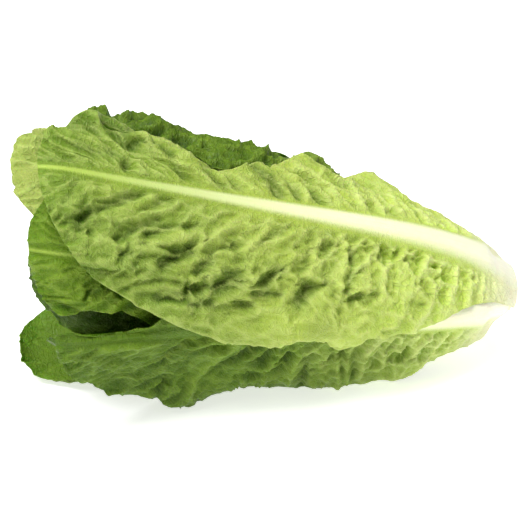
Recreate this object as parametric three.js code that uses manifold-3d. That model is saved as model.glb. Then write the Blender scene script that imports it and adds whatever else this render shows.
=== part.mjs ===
// A head of romaine lettuce lying on its side, in millimetres, +Z up.
// The cut butt points along +X and the leaf tips along -X. The head is a short stem with leaves in a
// golden-angle spiral round it, each a closed blade with a raised midrib, over a fused heart of small leaves.
// A place in the head is (u, angle, radius): u is the distance from the cut butt towards the tips, the angle
// is 0 towards -Y and 90 degrees up, and the radius is taken from the head's axis.
import * as THREE from "three";
import { mergeVertices } from "three/addons/utils/BufferGeometryUtils.js";
import Module from "manifold-3d";

// Driving dimensions of the head
const NECK_RADIUS = 15;
const SHOULDER = 35.3; // what the radius gains where the neck opens into the body
const SHOULDER_REACH = 41;
const SHOULDER_POWER = 1.2;
const WIDENING = 0.11; // what it gains from there for each millimetre towards the tips
const AXIS_HEIGHT_AT_BUTT = 38.5;
const AXIS_RISE = 0.2;
const SETTLE = 2.5; // rounding where the leaves turn from the round body to the floor
const FLOOR_PRESS = 0.4; // how far the lowest leaves are pressed flat against the floor

// Driving dimensions of the leaves
const BLADE = 0.9; // thickness
const BASE_HALF_WIDTH = 19;
const LAYER_AT_BASE = 1.5; // how much deeper each leaf of the spiral lies than the one before
const LAYER_AT_BODY = 2.45;
const LAYER_REACH = 130;
const SPRING_STEP = 3.1; // each leaf springs this much further up the stem
const RIB_HEIGHT_AT_BASE = 5.2;
const RIB_HEIGHT_AT_TIP = 0.5;
const RIB_HALF_WIDTH_AT_BASE = 9.5;
const RIB_HALF_WIDTH_AT_TIP = 2.4;
const WIDEST_AT = 0.66; // share of the way to the tip
const OPENING_POWER = 1.7; // how late a leaf opens from its base
const TIP_NARROWING = 0.3;
const CORNER = 38; // how far the corners of a leaf fall back from its tip
const CORNER_POWER = 2.4;
const SMALLEST_TURN = 14; // radius that a blade is wrapped round at the least
const RIB_RAMP = 11; // a rib is felt by the leaves over it from this far before its base
const RIB_SPREAD = 6; // and this much to each side of itself
const VEIN_SLANT_AT_BASE = 0.1; // forward run of a side vein for each millimetre sideways
const VEIN_SLANT_AT_TIP = 1.7;
const SWELL_LENGTH_AT_BASE = 26; // from one fold along the side veins to the next
const SWELL_LENGTH_AT_TIP = 40;
const WAVE_LENGTH = 37; // from one wave of the margin to the next
const WAVE_DRIFT = 41; // and the length over which the waves shift
const WAVE_SHIFT = 2.2; // by so many radians
const SWELL_SHARPNESS = 1.4;
const PLEAT_RUN = 40; // length over which a pleat rises
const SPREAD_FROM = 240;
const SPREAD_TO = 275;
const ROW_CROWDING = 0.085; // how much closer the grid's rows are at both ends of a leaf

// Driving dimensions of the stem and the heart
const STEM_LENGTH = 56;
const STEM_RADIUS = 14;
const HEART_START = STEM_LENGTH + 0.6;
const HEART_END = 236;
const HEART_RADIUS = 23;
const HEART_LEAF_COUNT = 6;
const GOLDEN_ANGLE = 137.5;

const radians = THREE.MathUtils.degToRad;
const clamp = THREE.MathUtils.clamp;
const lerp = THREE.MathUtils.lerp;

function smooth(x, from, to) {
  const t = clamp((x - from) / (to - from), 0, 1);
  return t * t * (3 - 2 * t);
}

function bell(x, centre, span) {
  return Math.exp(-(((x - centre) / span) ** 2));
}

// The smaller of two lengths, rounded over where they meet.
function softMin(a, b, round) {
  const h = Math.max(round - Math.abs(a - b), 0) / round;
  return Math.min(a, b) - (h * h * round) / 4;
}

// Form of the head

function bodyRadius(u) {
  const opened = 1 - Math.exp(-((Math.max(u, 0) / SHOULDER_REACH) ** SHOULDER_POWER));
  return NECK_RADIUS + SHOULDER * opened + WIDENING * u;
}

function axisHeight(u) {
  return AXIS_HEIGHT_AT_BUTT + AXIS_RISE * u;
}

function layerDepth(order, u) {
  return order * lerp(LAYER_AT_BASE, LAYER_AT_BODY, smooth(u, 0, LAYER_REACH));
}

// A radius held back where it would bring the inner face of a blade nearer the floor than a height.
function settledRadius(radius, angle, u, height) {
  const down = -Math.sin(angle);
  if (down < 0.2) return radius;
  return softMin(radius, (axisHeight(u) - height) / down, SETTLE);
}

function placeInHead(u, angle, radius) {
  return new THREE.Vector3(-u, -radius * Math.cos(angle), axisHeight(u) + radius * Math.sin(angle));
}

// Leaves, from the outermost in. A pair of numbers is for the sides of rising and of falling angle.
//   angle    where the midrib runs; it is turned from there by bend at the base and by drift at the tip
//   tip      how far from the butt the leaf ends
//   width    half-widths where the leaf is widest
//   clasp    half-widths at the base
//   corners  how far the corners fall back from the tip
//   hood     where the tip starts to curl in, and over what radius
//   folds    height of the swells along the side veins
//   ruffle   height of the waves at the margin, which start from phase
//   spread   how far the tip stands off the head
//   grid     rows and columns of the blade
//   lobes    [side, u, reach, span] of each bulge or bay of the margin
//   pleats   [v, height, span, start] of each lift that runs to the tip
//   bumps    [v, u, height, span of v, span of u] of each lift of its own
//   ribShare share of the full height that the midrib has
const LEAVES = [
  {
    name: "leaf_front", angle: 49, drift: 3, tip: 280, width: [47, 79], clasp: [25, 17], corners: [22, 24],
    hood: [262, 60], folds: [6.5, 3], ruffle: 2.2, phase: 0.4, grid: [30, 18],
    lobes: [[1, 92, 11, 21], [1, 179, -27, 30], [-1, 122, 12, 9], [-1, 147, -8, 13], [-1, 75, 7, 30]],
    bumps: [[0.8, 252, 6, 0.4, 20]],
  },
  {
    name: "leaf_back", angle: 193, drift: 6, tip: 268, width: [84, 80], clasp: [26, 24],
    hood: [250, 52], folds: [4, 4], ruffle: 2.6, phase: 2.1, grid: [20, 14],
    lobes: [[-1, 150, 6, 14], [1, 205, 8, 14]], pleats: [[0.8, 8, 0.35, 80]],
  },
  {
    name: "leaf_front_low", angle: -2, bend: 6, drift: -17, tip: 278, width: [14, 84], clasp: [19, 29],
    corners: [10, 48], hood: [264, 60], folds: [0, 2.6], ruffle: 2.4, phase: 1.2, grid: [28, 18],
    lobes: [[-1, 150, 5, 12], [1, 245, -10, 28]],
    pleats: [[-0.35, 4, 0.4, 240], [-0.84, 6.6, 0.27, 80]], bumps: [[-0.74, 213, 9.5, 0.14, 19]],
  },
  {
    name: "leaf_top", angle: 112, drift: 4, tip: 252, width: [72, 60], corners: [38, 70], ribShare: 0.6,
    hood: [252, 42], folds: [2, 0.8], ruffle: 2.4, phase: 0.2, grid: [24, 14],
    pleats: [[-0.2, 6.5, 0.36, 145]], bumps: [[-0.22, 213, 5, 0.35, 11], [-0.12, 121, 11, 0.24, 9]],
  },
  {
    name: "leaf_under", angle: 251, drift: 5, tip: 302, width: [64, 58], corners: [66, 44],
    hood: [284, 15], folds: [0, 0], ruffle: 1.4, phase: 3.3, spread: 17, grid: [20, 12],
    lobes: [[1, 285, -16, 30]],
  },
  {
    name: "leaf_second_front", angle: 17, drift: 2, tip: 289, width: [64, 64], corners: [34, 14],
    hood: [262, 46], folds: [0, 0], ruffle: 1.2, phase: 4.2, grid: [20, 12],
    lobes: [[-1, 240, -28, 36]],
  },
  {
    name: "leaf_second_back", angle: 163, drift: 0, tip: 274, width: [66, 60],
    hood: [250, 40], folds: [0, 0], ruffle: 0.9, phase: 0.9, grid: [14, 10],
  },
  {
    name: "leaf_second_under", angle: 300, drift: 2, tip: 284, width: [60, 62],
    hood: [256, 40], folds: [0, 0], ruffle: 0.9, phase: 5.1, grid: [14, 10],
    lobes: [[1, 245, -18, 40]],
  },
  {
    name: "leaf_second_top", angle: 58, drift: 0, tip: 296, width: [64, 50],
    hood: [273, 26], folds: [0, 0], ruffle: 0.9, phase: 2.8, grid: [18, 12],
    lobes: [[-1, 268, 8, 18]], pleats: [[0.52, 7, 0.3, 225]],
  },
  {
    name: "leaf_third_back", angle: 214, drift: 0, tip: 280, width: [60, 60],
    hood: [246, 36], folds: [0, 0], ruffle: 0.9, phase: 1.7, grid: [14, 10],
  },
  {
    name: "leaf_third_front", angle: 353, drift: 6, tip: 294, width: [60, 60],
    hood: [256, 38], folds: [0, 0], ruffle: 0.9, phase: 3.9, grid: [14, 10],
  },
  {
    name: "leaf_third_top", angle: 130, drift: 0, tip: 284, width: [58, 60],
    hood: [246, 34], folds: [0, 0], ruffle: 0.9, phase: 0.3, grid: [14, 10],
  },
];

LEAVES.forEach((leaf, order) => {
  leaf.order = order;
  leaf.base = 2 + SPRING_STEP * order;
});

const LEAF_COLOURS = { outer: 0x8fb04e, inner: 0xb4c968, heart: 0xdde39a, stem: 0xf1eed0 };

// Share of the way from the base of a leaf to its tip.
function shareOf(leaf, u) {
  return (u - leaf.base) / (leaf.tip - leaf.base);
}

function midribAngle(leaf, u) {
  const a = clamp(shareOf(leaf, u), 0, 1);
  return radians(leaf.angle + (leaf.bend ?? 0) * (1 - a) ** 3 + leaf.drift * a * a);
}

// Half-width of the blade: a clasping base, widest past the middle, and narrower towards the tip.
function halfWidth(leaf, a, side, u) {
  const widest = leaf.width[side > 0 ? 0 : 1];
  const opened = Math.sin((Math.PI / 2) * Math.min(a / WIDEST_AT, 1)) ** OPENING_POWER;
  const closing = 1 - TIP_NARROWING * Math.max((a - WIDEST_AT) / (1 - WIDEST_AT), 0) ** 2;
  const lobes = (leaf.lobes ?? []).filter(([lobeSide]) => lobeSide === side);
  const reach = lobes.reduce((sum, [, at, far, span]) => sum + far * bell(u, at, span), 0);
  const atBase = leaf.clasp ? leaf.clasp[side > 0 ? 0 : 1] : BASE_HALF_WIDTH;
  return lerp(atBase, widest, opened) * closing + reach;
}

// Where on the midrib the side vein through a point of the blade begins.
function veinOrigin(leaf, along, across) {
  const length = leaf.tip - leaf.base;
  const turn = (VEIN_SLANT_AT_TIP - VEIN_SLANT_AT_BASE) / length;
  return (along - VEIN_SLANT_AT_BASE * across) / (1 + turn * across);
}

// Height of the midrib over the outer face, away from the axis. A blade that lies over it takes it as wider.
function ribHeight(leaf, a, across, wider = 0) {
  const height = lerp(RIB_HEIGHT_AT_BASE, RIB_HEIGHT_AT_TIP, a ** 0.75) * (leaf.ribShare ?? 1);
  const half = lerp(RIB_HALF_WIDTH_AT_BASE, RIB_HALF_WIDTH_AT_TIP, a ** 0.8) + wider;
  return height * bell(Math.abs(across) ** 1.25, 0, half ** 1.25);
}

// How far the midribs of the leaves inside this one push it outwards.
function ribsBeneath(leaf, u, angle, radius) {
  return LEAVES.slice(leaf.order + 1).reduce((sum, inner) => {
    const turn = angle - midribAngle(inner, u);
    const across = Math.asin(Math.sin(turn / 2)) * 2 * radius;
    const a = clamp(shareOf(inner, u), 0, 1);
    const begun = smooth(u, inner.base - RIB_RAMP, inner.base - 1);
    const ended = smooth(u, inner.tip, inner.tip + 10);
    return sum + begun * (1 - ended) * ribHeight(inner, a, across, lerp(1, RIB_SPREAD, smooth(u, 10, 90)));
  }, 0);
}

// Swells and waves that lift the blade outwards from its layer.
function liftOf(leaf, a, v, along, across) {
  const side = v > 0 ? leaf.folds[0] : leaf.folds[1];
  const origin = veinOrigin(leaf, along, across);
  const swellLength = lerp(SWELL_LENGTH_AT_BASE, SWELL_LENGTH_AT_TIP, a);
  const swell = 0.5 + 0.5 * Math.sin((2 * Math.PI * origin) / swellLength + leaf.phase * 3);
  const spread = smooth(Math.abs(v), 0.1, 0.75) * smooth(a, 0.12, 0.35);
  const shifted = leaf.phase + WAVE_SHIFT * Math.sin(along / WAVE_DRIFT + v);
  const wave = 0.5 + 0.5 * Math.sin((2 * Math.PI * along) / WAVE_LENGTH + shifted);
  const margin = Math.abs(v) ** 4 * smooth(a, 0.15, 0.5);
  const u = along + leaf.base;
  let raised = 0;
  for (const [at, height, span, start] of leaf.pleats ?? []) {
    raised += height * bell(v, at, span) * smooth(u, start - PLEAT_RUN, start);
  }
  for (const [at, bumpU, height, span, spanU] of leaf.bumps ?? []) {
    raised += height * bell(v, at, span) * bell(u, bumpU, spanU);
  }
  return side * swell ** SWELL_SHARPNESS * spread + leaf.ruffle * wave * margin + raised;
}

// Point of the inner face of a leaf at grid place a (base to tip) and v (margin to margin).
function leafPoint(leaf, a, v) {
  const side = v < 0 ? -1 : 1;
  const cornerAtTip = leaf.corners?.[side > 0 ? 0 : 1] ?? CORNER;
  const corner = cornerAtTip * Math.abs(v) ** CORNER_POWER * smooth(a, 0.3, 1);
  const flat = lerp(leaf.base, leaf.tip, a) - corner;
  const across = Math.abs(v) * halfWidth(leaf, a, side, flat);
  const [hoodStart, hoodRadius] = leaf.hood;
  const past = Math.max(flat - hoodStart, 0) / hoodRadius;
  const u = Math.min(flat, hoodStart) + hoodRadius * Math.sin(past);
  const hooded = hoodRadius * (1 - Math.cos(past));
  const radius = bodyRadius(u) - layerDepth(leaf.order, u);
  const angle = midribAngle(leaf, flat) + (side * across) / Math.max(radius, SMALLEST_TURN);
  const spread = (leaf.spread ?? 0) * smooth(u, SPREAD_FROM, SPREAD_TO);
  const ribs = ribsBeneath(leaf, u, angle, radius);
  const lifted = radius + spread + ribs + liftOf(leaf, a, v, flat - leaf.base, across);
  const height = BLADE - FLOOR_PRESS + Math.max(layerDepth(Math.max(leaf.order - 2, 0), u) - spread, 0);
  return placeInHead(u, angle, settledRadius(lifted, angle, u, height) - hooded);
}

// Grid rows from the base to the tip, closer together at both ends.
function shareOfRow(i, rows) {
  const s = i / rows;
  return clamp(s - ROW_CROWDING * Math.sin(2 * Math.PI * s), 0, 1);
}

// Grid lines across a leaf, closer together by the midrib, from -1 to 1.
function acrossLines(count) {
  return Array.from({ length: count + 1 }, (_, j) => {
    const x = (2 * j) / count - 1;
    return x * (0.45 + 0.55 * Math.abs(x));
  });
}

// A closed blade: its inner face, the same face moved out by the thickness, and a rim that joins them.
// Both faces are split along the same diagonals.
function bladeGeometry(leaf) {
  const [rows, columns] = leaf.grid;
  const lines = acrossLines(columns);
  const inner = [];
  for (let i = 0; i <= rows; i++) inner.push(lines.map((v) => leafPoint(leaf, shareOfRow(i, rows), v)));

  const outer = inner.map((row, i) =>
    row.map((point, j) => {
      const along = inner[Math.min(i + 1, rows)][j].clone().sub(inner[Math.max(i - 1, 0)][j]);
      const sideways = row[Math.min(j + 1, columns)].clone().sub(row[Math.max(j - 1, 0)]);
      const a = shareOfRow(i, rows);
      const width = halfWidth(leaf, a, Math.sign(lines[j]) || 1, lerp(leaf.base, leaf.tip, a));
      const fromAxis = new THREE.Vector3(0, point.y, point.z - axisHeight(-point.x));
      const rib = fromAxis.setLength(ribHeight(leaf, a, Math.abs(lines[j]) * width));
      return sideways.cross(along).setLength(BLADE).add(rib).add(point);
    }),
  );
  // What would go under the floor lies flat on it.
  outer.forEach((row, i) =>
    row.forEach((point, j) => {
      point.z = Math.max(point.z, 0);
      inner[i][j].z = Math.max(inner[i][j].z, BLADE);
    }),
  );

  const positions = [];
  const put = (...points) => points.forEach((p) => positions.push(p.x, p.y, p.z));
  const quad = (a, b, c, d) => put(a, b, c, a, c, d);
  for (let i = 0; i < rows; i++) {
    for (let j = 0; j < columns; j++) {
      const [a, b, c, d] = [outer[i][j], outer[i][j + 1], outer[i + 1][j + 1], outer[i + 1][j]];
      put(a, b, c, a, c, d);
      const [e, f, g, h] = [inner[i][j], inner[i][j + 1], inner[i + 1][j + 1], inner[i + 1][j]];
      put(e, g, f, e, h, g);
    }
    quad(inner[i][0], outer[i][0], outer[i + 1][0], inner[i + 1][0]);
    quad(outer[i][columns], inner[i][columns], inner[i + 1][columns], outer[i + 1][columns]);
  }
  for (let j = 0; j < columns; j++) {
    quad(outer[0][j], inner[0][j], inner[0][j + 1], outer[0][j + 1]);
    quad(inner[rows][j], outer[rows][j], outer[rows][j + 1], inner[rows][j + 1]);
  }
  return new THREE.BufferGeometry().setAttribute("position", new THREE.Float32BufferAttribute(positions, 3));
}

// A round solid along the head's axis, from [u, radius] pairs that start and end on the axis.
function turnedGeometry(profile, sides) {
  const points = profile.map(([u, radius]) => new THREE.Vector2(radius, u));
  const geometry = new THREE.LatheGeometry(points, sides);
  const position = geometry.getAttribute("position");
  for (let i = 0; i < position.count; i++) {
    const u = position.getY(i);
    const angle = Math.atan2(position.getX(i), position.getZ(i));
    const radius = Math.hypot(position.getX(i), position.getZ(i));
    position.setXYZ(i, ...placeInHead(u, angle, radius));
  }
  return geometry;
}

const wasm = await Module();
wasm.setup();

function solidOf(geometry) {
  const bare = new THREE.BufferGeometry().setAttribute("position", geometry.getAttribute("position"));
  if (geometry.index) bare.setIndex(geometry.index);
  const merged = mergeVertices(bare, 1e-4);
  const vertProperties = merged.attributes.position.array;
  const triVerts = Uint32Array.from(merged.index.array);
  return new wasm.Manifold(new wasm.Mesh({ numProp: 3, vertProperties, triVerts }));
}

function geometryOf(solid) {
  const mesh = solid.getMesh();
  return new THREE.BufferGeometry()
    .setAttribute("position", new THREE.Float32BufferAttribute(mesh.vertProperties, 3))
    .setIndex(new THREE.BufferAttribute(mesh.triVerts, 1));
}

// Stem: the cut butt, and the neck that the leaves spring from

function stemGeometry() {
  return turnedGeometry(
    [[0, 0], [0, STEM_RADIUS - 1], [1.2, STEM_RADIUS], [18, STEM_RADIUS], [36, STEM_RADIUS - 1.5],
      [STEM_LENGTH - 4, 9.5], [STEM_LENGTH, 7], [STEM_LENGTH, 0]],
    20,
  );
}

// Heart: small pale leaves round a dense core, fused in one solid

function heartGeometry() {
  const core = [[HEART_START, 0], [HEART_START, 7]];
  const steps = 7;
  for (let i = 1; i < steps; i++) {
    const u = lerp(HEART_START, HEART_END, i / steps);
    core.push([u, 8 + HEART_RADIUS * Math.sin((Math.PI * i) / steps) ** 0.7]);
  }
  core.push([HEART_END, 6], [HEART_END, 0]);
  let heart = solidOf(turnedGeometry(core, 14));
  for (let k = 0; k < HEART_LEAF_COUNT; k++) {
    const leaf = {
      order: LEAVES.length + 2.8 + k * 1.3,
      angle: 130 + (k + 1) * GOLDEN_ANGLE,
      drift: 0,
      base: 112,
      tip: 284 - 3.5 * k,
      width: [46 - 2 * k, 46 - 2 * k],
      clasp: [22, 22],
      ribShare: 0.3,
      hood: [232 - 4 * k, 44],
      folds: [0, 0],
      ruffle: 1,
      phase: k * 1.3,
      grid: [9, 6],
    };
    heart = heart.add(solidOf(bladeGeometry(leaf)));
  }
  return geometryOf(heart);
}

// The head

const lettuce = new THREE.Group();

function addPiece(name, geometry, colour, roughness) {
  const material = new THREE.MeshStandardMaterial({ color: colour, roughness, metalness: 0 });
  const mesh = new THREE.Mesh(geometry, material);
  mesh.name = name;
  lettuce.add(mesh);
}

LEAVES.forEach((leaf) => {
  addPiece(leaf.name, bladeGeometry(leaf), leaf.order < 5 ? LEAF_COLOURS.outer : LEAF_COLOURS.inner, 0.55);
});
addPiece("heart", heartGeometry(), LEAF_COLOURS.heart, 0.5);
addPiece("stem", stemGeometry(), LEAF_COLOURS.stem, 0.6);

// The origin is at the middle of the head's box, on the floor.
const box = new THREE.Box3().setFromObject(lettuce);
const middle = box.getCenter(new THREE.Vector3());
lettuce.position.set(-middle.x, -middle.y, -box.min.z);

export default lettuce;
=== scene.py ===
"""A head of romaine lettuce lying on its side, with the cut butt to the right.

A place in the head is (u, angle, radius). u is the distance in millimetres from the cut butt towards the
tips. The angle is 0 towards the viewer's side and 90 degrees up. The radius is taken from the head's axis.
"""

from __future__ import annotations

import logging
from dataclasses import dataclass, field, replace
from enum import Enum
from itertools import product
from math import cos, pi, radians, sin

import bpy
import numpy as np
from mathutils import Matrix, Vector

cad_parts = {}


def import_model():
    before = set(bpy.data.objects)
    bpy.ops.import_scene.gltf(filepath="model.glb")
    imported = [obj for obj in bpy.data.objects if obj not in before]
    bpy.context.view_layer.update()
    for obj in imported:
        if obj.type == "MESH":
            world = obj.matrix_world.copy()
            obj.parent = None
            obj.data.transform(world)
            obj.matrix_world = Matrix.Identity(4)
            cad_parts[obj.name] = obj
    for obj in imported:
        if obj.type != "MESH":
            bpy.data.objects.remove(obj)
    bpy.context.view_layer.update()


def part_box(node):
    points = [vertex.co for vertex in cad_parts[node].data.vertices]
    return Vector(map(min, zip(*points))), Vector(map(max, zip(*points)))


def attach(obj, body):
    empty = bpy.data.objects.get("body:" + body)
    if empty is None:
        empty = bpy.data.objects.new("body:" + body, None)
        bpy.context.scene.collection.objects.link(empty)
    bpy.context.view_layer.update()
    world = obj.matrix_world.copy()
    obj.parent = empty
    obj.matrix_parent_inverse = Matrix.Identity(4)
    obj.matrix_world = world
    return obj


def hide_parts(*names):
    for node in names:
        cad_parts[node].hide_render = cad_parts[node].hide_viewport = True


log = logging.getLogger("romaine")

MM = 0.001
BODY = "root"
UP, DOWN = 1, -1
OUTER_LEAVES = 5

Grid = np.ndarray
Colour = tuple[float, float, float]


def smooth(x: Grid | float, low: float, high: float) -> Grid:
    """Ease from 0 at low to 1 at high.

    Args:
        x: Values to ease.
        low: Where the ease starts.
        high: Where it ends.

    Returns:
        The eased values.
    """
    t = np.clip((np.asarray(x) - low) / (high - low), 0.0, 1.0)
    return t * t * (3.0 - 2.0 * t)


def bell(x: Grid, centre: float, span: Grid | float) -> Grid:
    """Height of a bell curve.

    Args:
        x: Where it is taken.
        centre: Its middle.
        span: Its half-width.

    Returns:
        Values from 0 to 1.
    """
    return np.exp(-(((x - centre) / span) ** 2))


def blend(a: Grid | float, b: Grid | float, share: Grid | float) -> Grid:
    """Mix two values.

    Args:
        a: Value at share 0.
        b: Value at share 1.
        share: How far to go from a to b.

    Returns:
        The mixed values.
    """
    return a + (b - a) * share


def soft_min(a: Grid, b: Grid, rounding: float) -> Grid:
    """Take the smaller of two lengths, rounded over where they meet.

    Args:
        a: First length.
        b: Second length.
        rounding: Difference below which the rounding starts.

    Returns:
        The rounded minimum.
    """
    h = np.maximum(rounding - np.abs(a - b), 0.0) / rounding
    return np.minimum(a, b) - h * h * rounding / 4.0


class LatticeNoise:
    """Smooth noise on a plane from a seeded table of numbers."""

    SIZE = 256

    def __init__(self, seed: int) -> None:
        """Fill the table.

        Args:
            seed: Number that the table is drawn from.
        """
        self.table = np.random.default_rng(seed).random((self.SIZE, self.SIZE))

    def cell(self, i: Grid, j: Grid) -> Grid:
        """Look up the number of each lattice cell.

        Args:
            i: Cell numbers along the first axis.
            j: Cell numbers along the second.

        Returns:
            Numbers from 0 to 1.
        """
        return self.table[np.mod(i, self.SIZE).astype(int), np.mod(j, self.SIZE).astype(int)]

    def at(self, x: Grid, y: Grid) -> Grid:
        """Take the noise at points of the plane.

        Args:
            x: First coordinate, in cells.
            y: Second coordinate, in cells.

        Returns:
            Values from -1 to 1.
        """
        i, j = np.floor(x), np.floor(y)
        across, along = smooth(x - i, 0.0, 1.0), smooth(y - j, 0.0, 1.0)
        near = blend(self.cell(i, j), self.cell(i + 1, j), across)
        far = blend(self.cell(i, j + 1), self.cell(i + 1, j + 1), across)
        return 2.0 * blend(near, far, along) - 1.0

    def cells(self, x: Grid, y: Grid) -> tuple[Grid, Grid]:
        """Part the plane into uneven cells.

        Args:
            x: First coordinate, in cells.
            y: Second coordinate, in cells.

        Returns:
            How far each point is from the nearest wall, 0 on it, and the number from 0 to 1 of its cell.
        """
        i, j = np.floor(x), np.floor(y)
        first, second, number = np.full_like(x, 9.0), np.full_like(x, 9.0), np.zeros_like(x)
        for step_i, step_j in product((-1, 0, 1), repeat=2):
            near_i, near_j = i + step_i, j + step_j
            gap_x = near_i + 0.1 + 0.8 * self.cell(near_i, near_j) - x
            gap_y = near_j + 0.1 + 0.8 * self.cell(near_i + 57, near_j + 91) - y
            distance = np.hypot(gap_x, gap_y)
            closer = distance < first
            second = np.where(closer, first, np.minimum(second, distance))
            number = np.where(closer, self.cell(near_i + 31, near_j + 17), number)
            first = np.minimum(first, distance)
        return second - first, number

    def creased(self, x: Grid, y: Grid) -> Grid:
        """Take noise with sharp crests.

        Args:
            x: First coordinate, in cells.
            y: Second coordinate, in cells.

        Returns:
            Values from 0 in the hollows to 1 on the crests.
        """
        return (1.0 - np.abs(self.at(x, y))) ** 2


@dataclass(frozen=True)
class HeadForm:
    """Round body of the head that the leaves lie on, in millimetres."""

    butt_x: float
    butt_y: float
    neck_radius: float = 15.0
    shoulder: float = 35.3
    shoulder_reach: float = 41.0
    shoulder_power: float = 1.2
    widening: float = 0.11
    axis_height_at_butt: float = 38.5
    axis_rise: float = 0.2
    layer_at_base: float = 1.5
    layer_at_body: float = 2.45
    layer_reach: float = 130.0
    settle: float = 2.5
    least_down: float = 0.2
    floor_press: float = 0.4
    blade: float = 0.9

    @classmethod
    def from_stem(cls, node: str) -> HeadForm:
        """Find where the head lies from the box of its stem.

        Args:
            node: Name of the stem's solid.

        Returns:
            The form, placed on the stem.
        """
        low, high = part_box(node)
        return cls(butt_x=high.x / MM, butt_y=(low.y + high.y) / 2.0 / MM)

    def radius(self, u: Grid) -> Grid:
        """Radius of the body.

        Args:
            u: Distances from the butt.

        Returns:
            The radii.
        """
        opened = 1.0 - np.exp(-((np.maximum(u, 0.0) / self.shoulder_reach) ** self.shoulder_power))
        return self.neck_radius + self.shoulder * opened + self.widening * u

    def axis_height(self, u: Grid) -> Grid:
        """Height of the axis over the floor.

        Args:
            u: Distances from the butt.

        Returns:
            The heights.
        """
        return self.axis_height_at_butt + self.axis_rise * u

    def layer_depth(self, order: float, u: Grid) -> Grid:
        """How deep a leaf of the spiral lies under the body's surface.

        Args:
            order: Place of the leaf in the spiral, from the outermost.
            u: Distances from the butt.

        Returns:
            The depths.
        """
        return order * blend(self.layer_at_base, self.layer_at_body, smooth(u, 0.0, self.layer_reach))

    def settled(self, radius: Grid, angle: Grid, u: Grid, height: Grid) -> Grid:
        """Hold a radius back where it would go under a height.

        Args:
            radius: Radii of the free form.
            angle: Angles about the axis.
            u: Distances from the butt.
            height: Lowest height allowed.

        Returns:
            The radii of the head at rest on the floor.
        """
        down = -np.sin(angle)
        to_floor = (self.axis_height(u) - height) / np.maximum(down, self.least_down)
        return np.where(down < self.least_down, radius, soft_min(radius, to_floor, self.settle))

    def place(self, u: Grid, angle: Grid, radius: Grid) -> Grid:
        """Turn places in the head into points of the frame.

        Args:
            u: Distances from the butt.
            angle: Angles about the axis, in radians.
            radius: Distances from the axis.

        Returns:
            Points, in millimetres, on a new last axis.
        """
        x = self.butt_x - u
        y = self.butt_y - radius * np.cos(angle)
        z = self.axis_height(u) + radius * np.sin(angle)
        return np.stack(np.broadcast_arrays(x, y, z), axis=-1)


@dataclass(frozen=True)
class Lobe:
    """A bulge of a leaf's margin."""

    side: int
    u: float
    reach: float
    span: float


@dataclass(frozen=True)
class Pleat:
    """A lift that runs along a leaf near its tip, v being its place from margin to margin."""

    v: float
    height: float
    span: float
    start: float
    run: float = 40.0


@dataclass(frozen=True)
class Bump:
    """A lift of its own at one place of a leaf."""

    v: float
    u: float
    height: float
    span: float
    span_u: float


@dataclass(frozen=True)
class Furrow:
    """A crease, sunk or raised, that runs over a blade past a few points."""

    height: float
    width: float
    points: tuple[tuple[float, float], ...]

    def at(self, across: Grid, along: Grid) -> Grid:
        """Height of the crease over a blade.

        Args:
            across: Distances from the midrib, negative on the side of falling angle.
            along: Distances from the leaf's base.

        Returns:
            The heights.
        """
        nearest = np.full_like(along, 1e3)
        for (from_x, from_y), (to_x, to_y) in zip(self.points, self.points[1:]):
            run_x, run_y = to_x - from_x, to_y - from_y
            share = ((across - from_x) * run_x + (along - from_y) * run_y) / (run_x**2 + run_y**2)
            share = np.clip(share, 0.0, 1.0)
            distance = np.hypot(across - from_x - share * run_x, along - from_y - share * run_y)
            nearest = np.minimum(nearest, distance)
        return self.height * bell(nearest, 0.0, self.width)


class Tone(Enum):
    """Finish of a leaf, from how much light it has had as it grew, but for one dark finish that is painted
    shade on leaves that show only in the dark gaps between others.
    """

    WRAPPER = "wrapper"
    SUNNED = "sunned"
    SHADED = "shaded"
    BURIED = "painted_shade"
    HOOD = "hood"
    HEART = "heart"


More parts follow.
